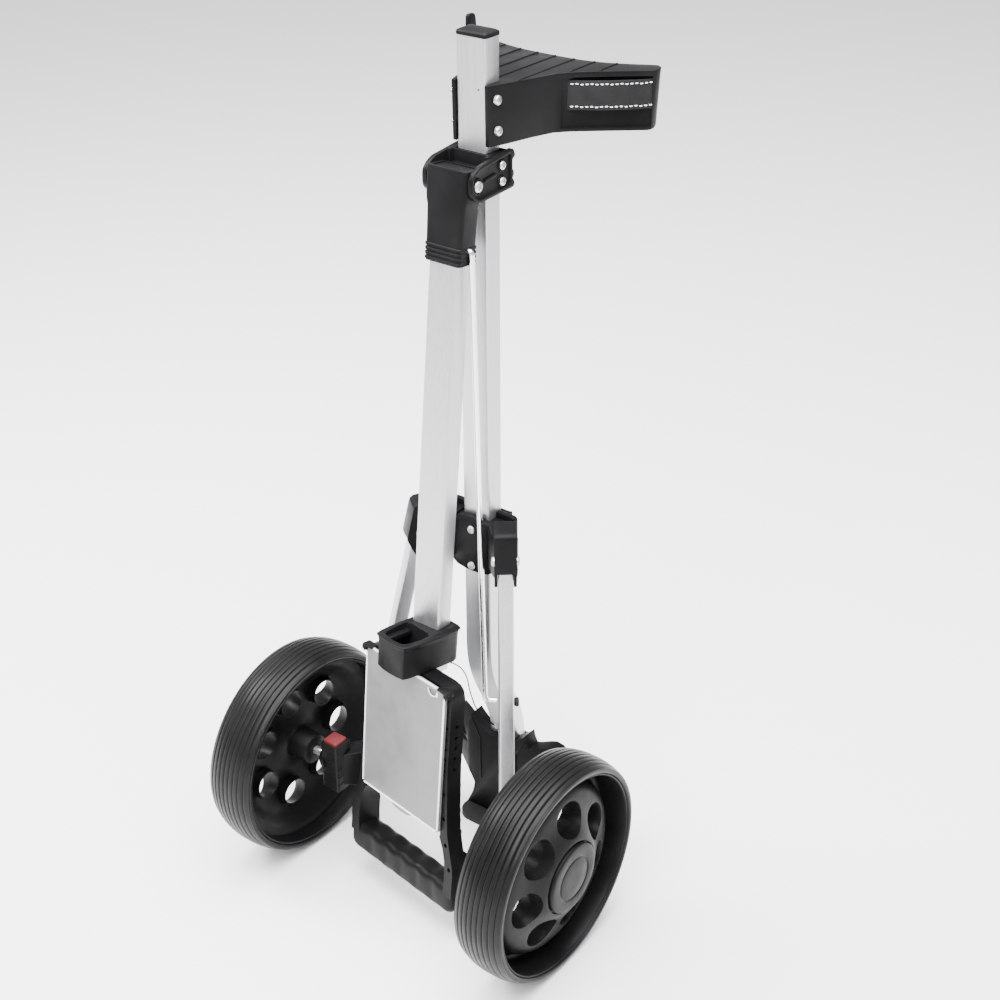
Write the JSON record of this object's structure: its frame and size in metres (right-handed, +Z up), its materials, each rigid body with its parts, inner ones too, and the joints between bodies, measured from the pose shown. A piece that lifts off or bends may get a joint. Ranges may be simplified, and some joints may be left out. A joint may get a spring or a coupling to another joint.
{
  "type": "golf push cart",
  "caption": "Folding golf cart frame with splayed legs and wheels, bag cradles at the top and foot, and a folded-down pull handle with grip and scorecard holder.",
  "frame": {"origin": "on the ground, in the middle of the cart's footprint box", "axes": "+X to the cart's right wheel, +Y towards the bag side, +Z up"},
  "size_m": [0.484, 0.4466, 1.097],
  "materials": {
    "satin_aluminium": "brushed satin, anodised clear",
    "black_plastic": "moulded, fine texture, satin black",
    "wheel_plastic": "moulded, satin black",
    "tyre_rubber": "solid smooth tread, slightly glossy, fine grooves",
    "soft_rubber": "matte",
    "cord_rubber": "smooth black elastic",
    "strap_webbing": "woven webbing with pale stitching",
    "zinc_steel": "zinc plated",
    "bright_rod": "polished",
    "card_plastic": "translucent smoky grey sheet",
    "button_red": "satin red"
  },
  "bodies": {
    "frame": {"main_tube": "satin_aluminium", "top_cap": "black_plastic", "upper_cradle": "black_plastic", "upper_cradle_bolt_1": "zinc_steel", "upper_cradle_bolt_2": "zinc_steel", "horn_strap_right": "strap_webbing", "horn_strap_left": "strap_webbing", "strap_hook": "black_plastic", "hinge_bracket": "black_plastic", "hinge_bracket_bolt_1": "zinc_steel", "hinge_bracket_bolt_2": "zinc_steel", "handle_pivot_pin": "zinc_steel", "hub_front": "black_plastic", "hub_rear": "black_plastic", "hub_screw_1": "zinc_steel", "hub_screw_2": "zinc_steel", "leg_pivot_pin_right": "zinc_steel", "leg_pivot_pin_left": "zinc_steel", "lower_cradle": "black_plastic", "lower_cradle_bolt_1": "zinc_steel", "lower_cradle_bolt_2": "zinc_steel", "foot_pad": "soft_rubber", "tether_cord": "cord_rubber", "cord_crimp_right": "zinc_steel", "cord_crimp_left": "zinc_steel"},
    "handle": {"handle_sleeve": "black_plastic", "sleeve_pin": "zinc_steel", "handle_tube": "satin_aluminium", "head_yoke": "black_plastic", "yoke_screw": "zinc_steel", "grip_frame": "black_plastic", "card_back_plate": "card_plastic", "card_hinge_pin": "zinc_steel"},
    "card_cover": {"card_cover": "card_plastic"},
    "stay_rod": {"stay_rod": "bright_rod"},
    "leg_right": {"leg_tube_right": "satin_aluminium", "leg_screw_right": "zinc_steel", "leg_bumper_right": "soft_rubber", "axle_block_right": "black_plastic", "axle_right": "zinc_steel", "button_spring_right": "zinc_steel"},
    "leg_left": {"leg_tube_left": "satin_aluminium", "leg_screw_left": "zinc_steel", "leg_bumper_left": "soft_rubber", "axle_block_left": "black_plastic", "axle_left": "zinc_steel", "button_spring_left": "zinc_steel"},
    "release_right": {"release_button_right": "button_red"},
    "release_left": {"release_button_left": "button_red"},
    "wheel_right": {"wheel_tread_right": "tyre_rubber", "wheel_disc_right": "wheel_plastic", "hub_cap_right": "wheel_plastic", "bearing_inner_right": "zinc_steel", "bearing_outer_right": "zinc_steel"},
    "wheel_left": {"wheel_tread_left": "tyre_rubber", "wheel_disc_left": "wheel_plastic", "hub_cap_left": "wheel_plastic", "bearing_inner_left": "zinc_steel", "bearing_outer_left": "zinc_steel"}
  },
  "joints": [
    {"name": "handle_fold", "type": "hinge", "parent": "frame", "child": "handle", "pos_m": [0, 0.01625, 0.94], "axis": [-1, 0, 0], "range_deg": [0, 150]},
    {"name": "stay_rod_swing", "type": "hinge", "parent": "handle", "child": "stay_rod", "pos_m": [0, 0.00836, 0.86793], "axis": [-1, 0, 0], "range_deg": [-150, 0]},
    {"name": "card_cover_open", "type": "hinge", "parent": "handle", "child": "card_cover", "pos_m": [-0.00149, -0.09157, 0.35526], "axis": [-0.9851, 0.1709, -0.0187], "range_deg": [0, 85]},
    {"name": "leg_fold_right", "type": "hinge", "parent": "frame", "child": "leg_right", "pos_m": [0.0672, 0.01775, 0.48], "axis": [0.7944, 0.6074, 0], "range_deg": [0, 12.6]},
    {"name": "wheel_spin_right", "type": "hinge", "parent": "leg_right", "child": "wheel_right", "pos_m": [0.2, -0.07875, 0.1445], "axis": [1, 0, 0], "continuous": true},
    {"name": "release_press_right", "type": "slide", "parent": "leg_right", "child": "release_right", "axis": [0, 0, -1], "range_m": [0, 0.003], "stiffness_N_per_m": 1000, "springref_m": -0.002, "deforming": ["button_spring_right"]},
    {"name": "leg_fold_left", "type": "hinge", "parent": "frame", "child": "leg_left", "pos_m": [-0.0672, 0.01775, 0.48], "axis": [0.7944, -0.6074, 0], "range_deg": [0, 12.6]},
    {"name": "wheel_spin_left", "type": "hinge", "parent": "leg_left", "child": "wheel_left", "pos_m": [-0.2, -0.07875, 0.1445], "axis": [1, 0, 0], "continuous": true},
    {"name": "release_press_left", "type": "slide", "parent": "leg_left", "child": "release_left", "axis": [0, 0, -1], "range_m": [0, 0.003], "stiffness_N_per_m": 1000, "springref_m": -0.002, "deforming": ["button_spring_left"]}
  ],
  "couplings": [
    {"joint": "stay_rod_swing", "follows": "handle_fold", "ratio": -1}
  ]
}
